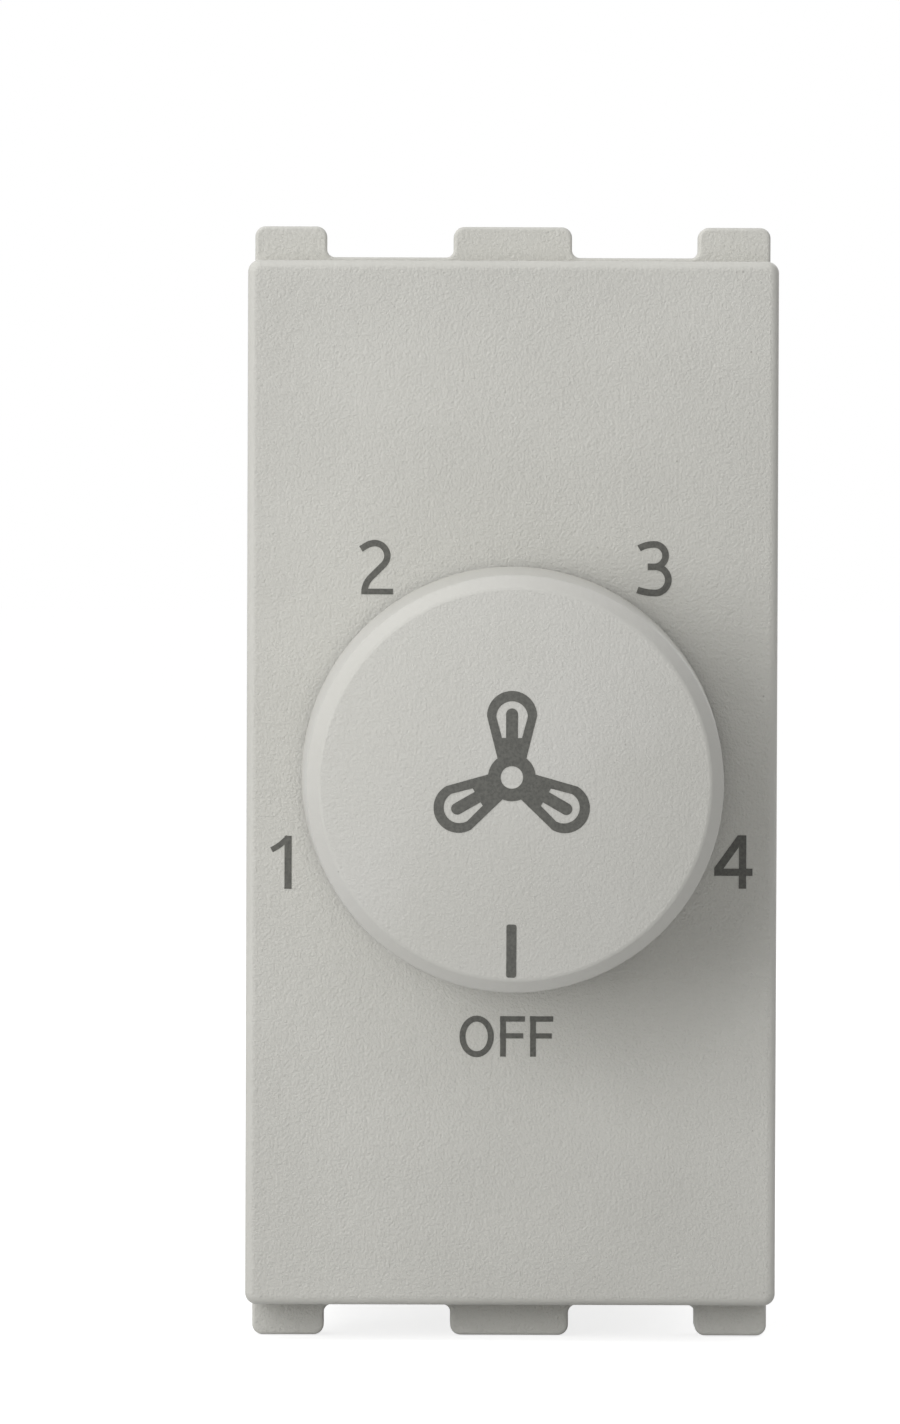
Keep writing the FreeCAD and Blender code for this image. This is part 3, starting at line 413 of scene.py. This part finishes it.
def rolled_metal(name, tones, roughness, stretch):
    """Bare metal with rolling lines; the stretch is how long the lines are along X, Y and Z."""
    material, tree, shader, place = new_finish(name)
    spot = place.outputs["Object"]
    along = node(tree, "Mapping", {"Vector": spot, "Scale": [1 / length for length in stretch]})
    rolled = noise(tree, along.outputs["Vector"], ROLLED_LINE, detail=4.0, roughness=0.65)
    handled = noise(tree, spot, HANDLED_SIZE, detail=3.0)
    feed(tree, shader, {
        "Base Color": between(tree, handled, tones[1], tones[0]),
        "Metallic": 1.0,
        "Roughness": spread(tree, rolled, roughness - 0.08, roughness + 0.1),
        "Normal": relief(tree, rolled, 0.4, ROLLED_DEPTH),
    })
    return material


steel = rolled_metal("rolled_steel", STEEL_TONES, STEEL_ROUGHNESS, STEEL_STRETCH)
dress(steel, "detent_spring", "knob_grip_spring")
dress(rolled_metal("phosphor_bronze", BRONZE_TONES, BRONZE_ROUGHNESS, BRONZE_STRETCH), "moving_contact")
brass = rolled_metal("contact_brass", BRASS_TONES, BRASS_ROUGHNESS, BRASS_STRETCH)
dress(brass, "common_contact", "speed_contact_1", "speed_contact_2", "speed_contact_3", "speed_contact_4")

# Contact board
# Paper laminate in phenolic resin, sawn and drilled: brown, with short fibres that lie every way in the sheet.
# It carries the ring and pads, and is held between the cover's pillars and the housing's ledges.
LAMINATE_PALE = (196, 160, 104)
LAMINATE_DEEP = (164, 124, 72)
FIBRE = (132, 94, 52)
FIBRES_PER_METRE = 1600.0
FIBRE_EDGE = (0.45, 0.75)
FIBRE_STRENGTH = 0.5
FIBRE_DEPTH = 0.03
SHEET_CLOUD = 7.0
LAMINATE_ROUGHNESS = (0.36, 0.6)

laminate, tree, shader, place = new_finish("paper_laminate")
spot = place.outputs["Object"]
fibres = node(tree, "TexNoise", {
    "Vector": spot, "Scale": FIBRES_PER_METRE, "Detail": 6.0, "Roughness": 0.7, "Distortion": 1.4,
}).outputs["Fac"]
sheet_tone = between(tree, noise(tree, spot, SHEET_CLOUD), LAMINATE_DEEP, LAMINATE_PALE)
is_fibre = spread(tree, fibres, 0.0, FIBRE_STRENGTH, *FIBRE_EDGE)
feed(tree, shader, {
    "Base Color": over(tree, is_fibre, sheet_tone, tint(*FIBRE)),
    "Roughness": spread(tree, fibres, *LAMINATE_ROUGHNESS),
    "Normal": relief(tree, fibres, 0.5, FIBRE_DEPTH),
})
dress(laminate, "contact_board")

# Capacitors
# Two boxed film capacitors on tinned leads, side by side: an ochre moulded case, filled with resin.
# The case stands off the board, and the leads between them are bare.
CASE_PALE = (206, 166, 74)
CASE_DEEP = (190, 148, 60)
CASE_CLOUD = 6.0
CASE_SKIN = 0.35
CASE_SKIN_DEPTH = 0.03
CASE_ROUGHNESS = (0.4, 0.55)
CASE_STAND_OFF = 0.6
CASE_EDGE = 0.02
TINNED = (188, 188, 186)

case_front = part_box("contact_board")[1].y * MM_PER_METRE + CASE_STAND_OFF
case_finish, tree, shader, place = new_finish("capacitor_case")
spot = place.outputs["Object"]
depth = node(tree, "SeparateXYZ", {"Vector": spot}).outputs["Y"]
is_case = spread(tree, depth, 0.0, 1.0, (case_front - CASE_EDGE) / MM_PER_METRE, case_front / MM_PER_METRE)
skin = noise(tree, spot, CASE_SKIN, detail=4.0, roughness=0.6)
moulded = between(tree, noise(tree, spot, CASE_CLOUD), CASE_DEEP, CASE_PALE)
feed(tree, shader, {
    "Base Color": over(tree, is_case, tint(*TINNED), moulded),
    "Roughness": spread(tree, skin, *CASE_ROUGHNESS),
    "Metallic": spread(tree, is_case, 1.0, 0.0, 0.0, 1.0),
    "Normal": relief(tree, skin, 0.6, CASE_SKIN_DEPTH),
})
dress(case_finish, "low_speed_capacitor", "mid_speed_capacitor")

# Resistors
# Axial resistors on tinned leads: two with a grey cement coat against surges, two lacquered in beige.
# Painted rings round the body tell the value, from the left end on.
CEMENT_COAT = ((138, 150, 140), (122, 134, 126))
BEIGE_LACQUER = ((218, 190, 146), (204, 174, 128))
BROWN = (96, 58, 30)
BLACK = (20, 20, 20)
RED = (200, 60, 40)
YELLOW = (214, 176, 50)
GOLD = (176, 140, 60)
# For each kind: the middle of each ring along the body and its paint
SURGE_RINGS = [(-2.7, BROWN), (-1.5, BLACK), (-0.3, BLACK), (2.4, GOLD)]
BLEED_RINGS = [(-1.5, RED), (-0.7, RED), (0.1, YELLOW), (1.5, GOLD)]
SURGE = {"ring_width": 0.6, "half_length": 4.28, "roughness": 0.62}
BLEED = {"ring_width": 0.4, "half_length": 3.08, "roughness": 0.34}
COAT_CLOUD = 2.0
COAT_SKIN = 0.3
COAT_SKIN_DEPTH = 0.03


def ringed_resistor(name, coat, rings, ring_width, half_length, roughness):
    """A coated body with painted rings, and bare leads past its ends."""
    material, tree, shader, place = new_finish(name)
    spot = place.outputs["Object"]
    along = node(tree, "SeparateXYZ", {"Vector": spot}).outputs["X"]

    def is_near(middle, reach):
        """1 within the reach of a place along the body, and 0 past it."""
        inputs = {0: along, 1: middle / MM_PER_METRE, 2: reach / MM_PER_METRE}
        return node(tree, "Math", inputs, operation="COMPARE").outputs["Value"]

    skin = noise(tree, spot, COAT_SKIN, detail=4.0, roughness=0.6)
    colour = between(tree, noise(tree, spot, COAT_CLOUD), coat[1], coat[0])
    for middle, paint in rings:
        colour = over(tree, is_near(middle, ring_width / 2), colour, tint(*paint))
    is_body = is_near(0.0, half_length)
    feed(tree, shader, {
        "Base Color": over(tree, is_body, tint(*TINNED), colour),
        "Roughness": spread(tree, skin, roughness - 0.06, roughness + 0.08),
        "Metallic": spread(tree, is_body, 1.0, 0.0, 0.0, 1.0),
        "Normal": relief(tree, skin, 0.6, COAT_SKIN_DEPTH),
    })
    return material


cement = ringed_resistor("cement_coat", CEMENT_COAT, SURGE_RINGS, **SURGE)
dress(cement, "surge_resistor_1", "surge_resistor_2")
lacquer = ringed_resistor("beige_lacquer", BEIGE_LACQUER, BLEED_RINGS, **BLEED)
dress(lacquer, "bleed_resistor_1", "bleed_resistor_2")

# Wire terminals
# Lift clamps in brass: a stamped bar with pins in the board, and a folded cage round it.
# The cage slides along the bar and draws the wire against it.
CAGE_TONES = ((208, 178, 112), (180, 146, 84))
CAGE_ROUGHNESS = 0.36
CAGE_STRETCH = (1, 8, 1)

dress(brass, "line_contact_bar", "load_contact_bar")
folded_brass = rolled_metal("folded_brass", CAGE_TONES, CAGE_ROUGHNESS, CAGE_STRETCH)
dress(folded_brass, "line_terminal_cage", "load_terminal_cage")

# Terminal screws
# Cheese-head screws with rolled M3 threads, in zinc-plated steel, that draw the cages down on the wires.
# One is turned in millimetres, head down, and copied for the other terminal.
ZINC_TONES = ((196, 199, 202), (170, 173, 178))
ZINC_ROUGHNESS = 0.28
ZINC_STRETCH = (2, 2, 1)
HEAD_RADIUS = 2.4
HEAD_HEIGHT = 1.8
HEAD_ROUND = 0.25
SLOT_WIDTH = 0.8
SLOT_DEPTH = 0.9
CREST_RADIUS = 1.5
ROOT_RADIUS = 1.2
PITCH = 0.5
SCREW_LENGTH = 5.8
TIP_ROUND = 0.35
SCREW_SIDES = 80
ROUND_STEPS = 4
THREAD_STEPS = 40
SPARE_TURNS = 3
SPARE = 0.2
NEAR = 1e-4
CREASE_ANGLE = 35


def turned(radius, low, high, rounded_end, round_size):
    """A round bar between two heights, rounded at one end."""
    bpy.ops.mesh.primitive_circle_add(
        vertices=SCREW_SIDES, radius=radius, fill_type="NGON", location=(0, 0, low))
    piece = bpy.context.object
    bpy.ops.object.transform_apply()
    bpy.ops.object.mode_set(mode="EDIT")
    bpy.ops.mesh.select_all(action="SELECT")
    bpy.ops.mesh.extrude_region_move(TRANSFORM_OT_translate={"value": (0, 0, high - low)})
    select_where(lambda place: abs(place.z - rounded_end) < NEAR)
    bpy.ops.mesh.bevel(offset=round_size, segments=ROUND_STEPS, affect="EDGES")
    bpy.ops.mesh.select_all(action="SELECT")
    bpy.ops.mesh.normals_make_consistent(inside=False)
    bpy.ops.object.mode_set(mode="OBJECT")
    return piece


def thread(low, high):
    """A closed length of thread: one V between two roots, wound up the axis and cut level at both ends."""
    bpy.ops.mesh.primitive_plane_add(size=PITCH, rotation=(math.radians(90), 0, 0))
    piece = bpy.context.object
    piece.location = (ROOT_RADIUS - PITCH / 2, 0, low - PITCH)
    bpy.ops.object.transform_apply()
    bpy.ops.object.mode_set(mode="EDIT")
    select_where(lambda place: place.x < ROOT_RADIUS - NEAR)
    bpy.ops.mesh.delete(type="VERT")
    bpy.ops.mesh.select_all(action="SELECT")
    bpy.ops.mesh.subdivide(number_cuts=1)
    select_where(lambda place: abs(place.z - low + PITCH) < NEAR)
    bpy.ops.transform.translate(value=(CREST_RADIUS - ROOT_RADIUS, 0, 0))
    bpy.ops.object.mode_set(mode="OBJECT")
    winding = piece.modifiers.new("winding", "SCREW")
    winding.screw_offset = PITCH
    winding.iterations = round((high - low) / PITCH) + SPARE_TURNS
    winding.steps = winding.render_steps = THREAD_STEPS
    bpy.ops.object.modifier_apply(modifier=winding.name)
    bpy.ops.object.mode_set(mode="EDIT")
    bpy.ops.mesh.select_all(action="SELECT")
    bpy.ops.mesh.remove_doubles(threshold=SEAM)
    for height, side in ((low, -1), (high, 1)):
        bpy.ops.mesh.select_all(action="SELECT")
        bpy.ops.mesh.bisect(
            plane_co=(0, 0, height), plane_no=(0, 0, side), use_fill=True, clear_outer=True)
    bpy.ops.mesh.select_all(action="SELECT")
    bpy.ops.mesh.normals_make_consistent(inside=False)
    bpy.ops.object.mode_set(mode="OBJECT")
    return piece


head = turned(HEAD_RADIUS, 0, HEAD_HEIGHT, 0, HEAD_ROUND)
bpy.ops.mesh.primitive_cube_add(size=1, enter_editmode=True)
bpy.ops.transform.resize(value=(3 * HEAD_RADIUS, SLOT_WIDTH, 2 * SLOT_DEPTH))
bpy.ops.object.mode_set(mode="OBJECT")
weld(head, [bpy.context.object], "DIFFERENCE")
shank = thread(HEAD_HEIGHT - SPARE, SCREW_LENGTH + SPARE)
outline = turned(
    CREST_RADIUS + SPARE, HEAD_HEIGHT - SPARE / 2, SCREW_LENGTH, SCREW_LENGTH, TIP_ROUND + SPARE)
weld(shank, [outline], "INTERSECT")
weld(head, [shank])
alone(head)
bpy.ops.object.shade_smooth_by_angle(angle=math.radians(CREASE_ANGLE))
head.data.materials.append(rolled_metal("zinc_plate", ZINC_TONES, ZINC_ROUGHNESS, ZINC_STRETCH))
for side in ("line", "load"):
    low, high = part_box(f"{side}_terminal_screw")
    alone(head)
    bpy.ops.object.duplicate()
    screw = bpy.context.object
    screw.name = f"{side}_screw_threaded"
    screw.scale = [1 / MM_PER_METRE] * 3
    screw.location = ((low.x + high.x) / 2, (low.y + high.y) / 2, low.z)
    bpy.ops.object.transform_apply()
    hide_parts(f"{side}_terminal_screw")
    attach(screw, f"{side}_screw")
bpy.data.objects.remove(head)

# Rear housing
# The box behind the face, moulded in the cover's grey without grain.
# It holds the board and the terminals, and is snapped into the cover's skirt by four wedges.
HOUSING_PALE = (203, 203, 197)
HOUSING_DEEP = (199, 199, 193)
HOUSING_ROUGHNESS = 0.5
HOUSING_CLOUD = 8.0

housing_grey, _ = satin_plastic(
    "housing_grey", HOUSING_PALE, HOUSING_DEEP, HOUSING_ROUGHNESS, HOUSING_CLOUD)
dress(housing_grey, "rear_housing")

# Knob
# The dial cap, moulded in the same grey as the cover with a slightly softer grain on its crowned front.
# It is pushed onto the shaft over the grip leaf.
KNOB_PALE = (205, 204, 199)
KNOB_DEEP = (200, 199, 193)
KNOB_SPECK = (174, 172, 167)
KNOB_GRAIN = 0.12
KNOB_GRAIN_DEPTH = 0.045

knob_grain = grained_plastic("knob_grain", KNOB_PALE, KNOB_DEEP, KNOB_SPECK, KNOB_GRAIN, KNOB_GRAIN_DEPTH)
dress(knob_grain, "knob")

# Marks on the knob
# A fan sign in the middle and a pointer line near the rim, in the same ink as the marks on the face.
# Each blade is an outline with a rib inside; one is drawn and turned into three.
# The printing pad presses both signs on the crown.
KNOB_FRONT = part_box("knob")[0].y
DIAL_RISE = 0.3
PAD_GAP = 1.0
INK_CELL = 0.4
CELL_SEAM = 0.003
FRONT_FACING = -0.9
FAN_OFFSET = Vector((-0.15, 0.32, 0))
HUB_RADIUS = 1.0
HUB_THICK = 0.53
BLADE = {"round_at": 2.57, "radius": 1.05, "root": 0.78, "root_half": 0.6}
SLOT = {"round_at": 2.53, "radius": 0.66, "root": 1.65, "root_half": 0.42}
RIB = {"round_at": 2.64, "radius": 0.25, "root": 1.5, "root_half": 0.25}
BLADE_SIDES = 60
POINTER_X = -0.138
POINTER_WIDTH = 0.42
POINTER_ENDS = (-5.867, -8.117)
POINTER_CORNER = 0.1
CORNER_STEPS = 5


def round_ended(round_at, radius, root, root_half):
    """A flat shape along Y: a half circle whose sides run straight on to a root of another width."""
    bpy.ops.mesh.primitive_circle_add(
        vertices=BLADE_SIDES, radius=radius, fill_type="NGON", location=(0, round_at, 0))
    piece = bpy.context.object
    bpy.ops.object.transform_apply()
    bpy.ops.object.mode_set(mode="EDIT")
    bpy.ops.mesh.select_all(action="SELECT")
    bpy.ops.mesh.bisect(plane_co=(0, round_at, 0), plane_no=(0, 1, 0), clear_inner=True)
    select_where(lambda place: abs(place.y - round_at) < NEAR)
    bpy.ops.mesh.extrude_region_move(TRANSFORM_OT_translate={"value": (0, root - round_at, 0)})
    bpy.ops.transform.resize(value=(root_half / radius, 1, 1), center_override=(0, root, 0))
    bpy.ops.object.mode_set(mode="OBJECT")
    return piece


blade = thicken(round_ended(**BLADE))
weld(blade, [thicken(round_ended(**SLOT), 2 * INK_FILM)], "DIFFERENCE")
weld(blade, [thicken(round_ended(**RIB))])
blades = [blade]
for turn in (120, 240):
    alone(blade)
    bpy.ops.object.duplicate()
    bpy.context.object.rotation_euler.z = math.radians(turn)
    bpy.ops.object.transform_apply()
    blades.append(bpy.context.object)
fan = weld(thicken(ring(0, 0, HUB_RADIUS, HUB_RADIUS, HUB_THICK)), blades)
fan.location = FAN_OFFSET
alone(fan)
bpy.ops.object.transform_apply()

bpy.ops.mesh.primitive_plane_add(size=1, enter_editmode=True)
bpy.ops.transform.resize(value=(POINTER_WIDTH, POINTER_ENDS[0] - POINTER_ENDS[1], 1))
bpy.ops.mesh.bevel(offset=POINTER_CORNER, segments=CORNER_STEPS, affect="VERTICES")
bpy.ops.transform.translate(value=(POINTER_X, sum(POINTER_ENDS) / 2, 0))
bpy.ops.object.mode_set(mode="OBJECT")
pointer = thicken(bpy.context.object)


def press(piece, target):
    """Cuts a flat sign's front into small cells, lays it on the target's front and gives it the ink's depth."""
    alone(piece)
    bpy.ops.object.mode_set(mode="EDIT")
    bpy.ops.mesh.select_all(action="DESELECT")
    bpy.ops.mesh.select_mode(type="FACE")
    mesh = bmesh.from_edit_mesh(piece.data)
    for face in mesh.faces:
        face.select_set(face.normal.y > FRONT_FACING)
    bmesh.update_edit_mesh(piece.data)
    bpy.ops.mesh.delete(type="FACE")
    corners = [Vector(corner) * MM_PER_METRE / INK_CELL for corner in piece.bound_box]
    for axis in (0, 2):
        first, last = (round(pick(corner[axis] for corner in corners)) for pick in (min, max))
        for cut in range(first, last + 1):
            place, side = [0, 0, 0], [0, 0, 0]
            place[axis], side[axis] = cut * INK_CELL / MM_PER_METRE, 1
            bpy.ops.mesh.select_all(action="SELECT")
            bpy.ops.mesh.bisect(plane_co=place, plane_no=side)
    bpy.ops.mesh.select_all(action="SELECT")
    bpy.ops.mesh.remove_doubles(threshold=CELL_SEAM / MM_PER_METRE)
    bpy.ops.object.mode_set(mode="OBJECT")
    pad = piece.modifiers.new("pad", "SHRINKWRAP")
    pad.target = target
    pad.wrap_method = "PROJECT"
    pad.use_project_y = True
    bpy.ops.object.modifier_apply(modifier=pad.name)
    return give_depth(piece, INK_FILM / MM_PER_METRE)


for sign, name in ((fan, "mark_fan"), (pointer, "mark_pointer")):
    lay(sign, name, KNOB_FRONT - PAD_GAP / MM_PER_METRE, DIAL_RISE / MM_PER_METRE)
    press(sign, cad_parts["knob"])
    sign.data.materials.append(ink)
    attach(sign, "dial")

# Studio
# A pale floor under the switch and a white surround, as in a catalogue picture.
# A soft lamp stands in front to the left, a second one above lights the upper left edges, a third one
# lights the back, and the surround fills in the rest.
WHITE = (1, 1, 1, 1)
FLOOR_SIZE = 2.0
FLOOR_SIDES = 96
FLOOR_GAP = 0.00005
FLOOR_GREY = (0.53, 0.53, 0.53, 1.0)
FLOOR_LIFT = 0.78
FILL_LIGHT = 0.42
KEY_FROM = Vector((-0.136, -0.21, 0.042))
KEY_SIZE = 0.165
KEY_WATTS = 0.336
EDGE_FROM = Vector((-0.1, -0.032, 0.22))
EDGE_SIZE = 0.16
EDGE_WATTS = 0.2
REAR_FROM = Vector((0.16, 0.28, 0.2))
REAR_SIZE = 0.2
REAR_WATTS = 0.25
SIGHT_DISTANCE = 0.45
SIGHT_AT = Vector((-0.00267, FACE_FRONT, 0.003076))
SIGHT_AZIMUTH = -0.42
SIGHT_ELEVATION = 1.45
SIGHT_ROLL = 0.2
PICTURE_HEIGHT = 0.06115


def seen_directly(tree):
    """1 where the camera looks at the surface, straight or by way of metal or glass, and 0 for other light."""
    rays = node(tree, "LightPath", {}).outputs
    seen = rays["Is Camera Ray"]
    for ray in ("Is Glossy Ray", "Is Transmission Ray"):
        seen = node(tree, "Math", {0: seen, 1: rays[ray]}, operation="MAXIMUM").outputs["Value"]
    return seen


floor_height = cad_box[0].z - FLOOR_GAP
bpy.ops.mesh.primitive_circle_add(
    vertices=FLOOR_SIDES, radius=FLOOR_SIZE, fill_type="NGON", location=(0, 0, floor_height))
floor = bpy.context.object
floor.name = "studio_floor"
floor_finish, tree, shader, _ = new_finish("floor_white")
feed(tree, shader, {
    "Base Color": FLOOR_GREY,
    "Roughness": 0.9,
    "Specular IOR Level": 0.0,
    "Emission Color": WHITE,
    "Emission Strength": spread(tree, seen_directly(tree), 0.0, FLOOR_LIFT, 0.0, 1.0),
})
# From underneath the floor lets the view through
underneath = node(tree, "NewGeometry", {}).outputs["Backfacing"]
clear = node(tree, "BsdfTransparent", {}).outputs["BSDF"]
one_sided = node(tree, "MixShader", {0: underneath, 1: shader.outputs["BSDF"], 2: clear})
feed(tree, tree.nodes["Material Output"], {"Surface": one_sided.outputs["Shader"]})
floor.data.materials.append(floor_finish)

world = bpy.data.worlds.new("white_surround")
bpy.context.scene.world = world
world.use_nodes = True
tree = world.node_tree
feed(tree, tree.nodes["Background"], {
    "Color": WHITE, "Strength": spread(tree, seen_directly(tree), FILL_LIGHT, 1.0, 0.0, 1.0),
})


def aim(thing, target):
    """Turns a lamp or the camera towards a point."""
    thing.rotation_euler = (target - thing.location).to_track_quat("-Z", "Y").to_euler()


lamps = [
    ("key_lamp", KEY_FROM, KEY_SIZE, KEY_WATTS),
    ("edge_lamp", EDGE_FROM, EDGE_SIZE, EDGE_WATTS),
    ("rear_lamp", REAR_FROM, REAR_SIZE, REAR_WATTS),
]
for name, place, size, watts in lamps:
    bpy.ops.object.light_add(type="AREA", location=place)
    lamp = bpy.context.object
    lamp.name = name
    lamp.data.size = size
    lamp.data.energy = watts
    aim(lamp, Vector((0, FACE_FRONT, 0)))

azimuth, elevation = math.radians(SIGHT_AZIMUTH), math.radians(SIGHT_ELEVATION)
level = math.cos(elevation)
back = Vector((math.sin(azimuth) * level, -math.cos(azimuth) * level, math.sin(elevation)))
bpy.ops.object.camera_add(location=SIGHT_AT + back * SIGHT_DISTANCE)
camera = bpy.context.object
aim(camera, SIGHT_AT)
camera.rotation_euler.rotate_axis("Z", math.radians(SIGHT_ROLL))
camera.data.lens = camera.data.sensor_width * SIGHT_DISTANCE / PICTURE_HEIGHT
bpy.context.scene.camera = camera
bpy.context.scene.view_settings.view_transform = "Standard"
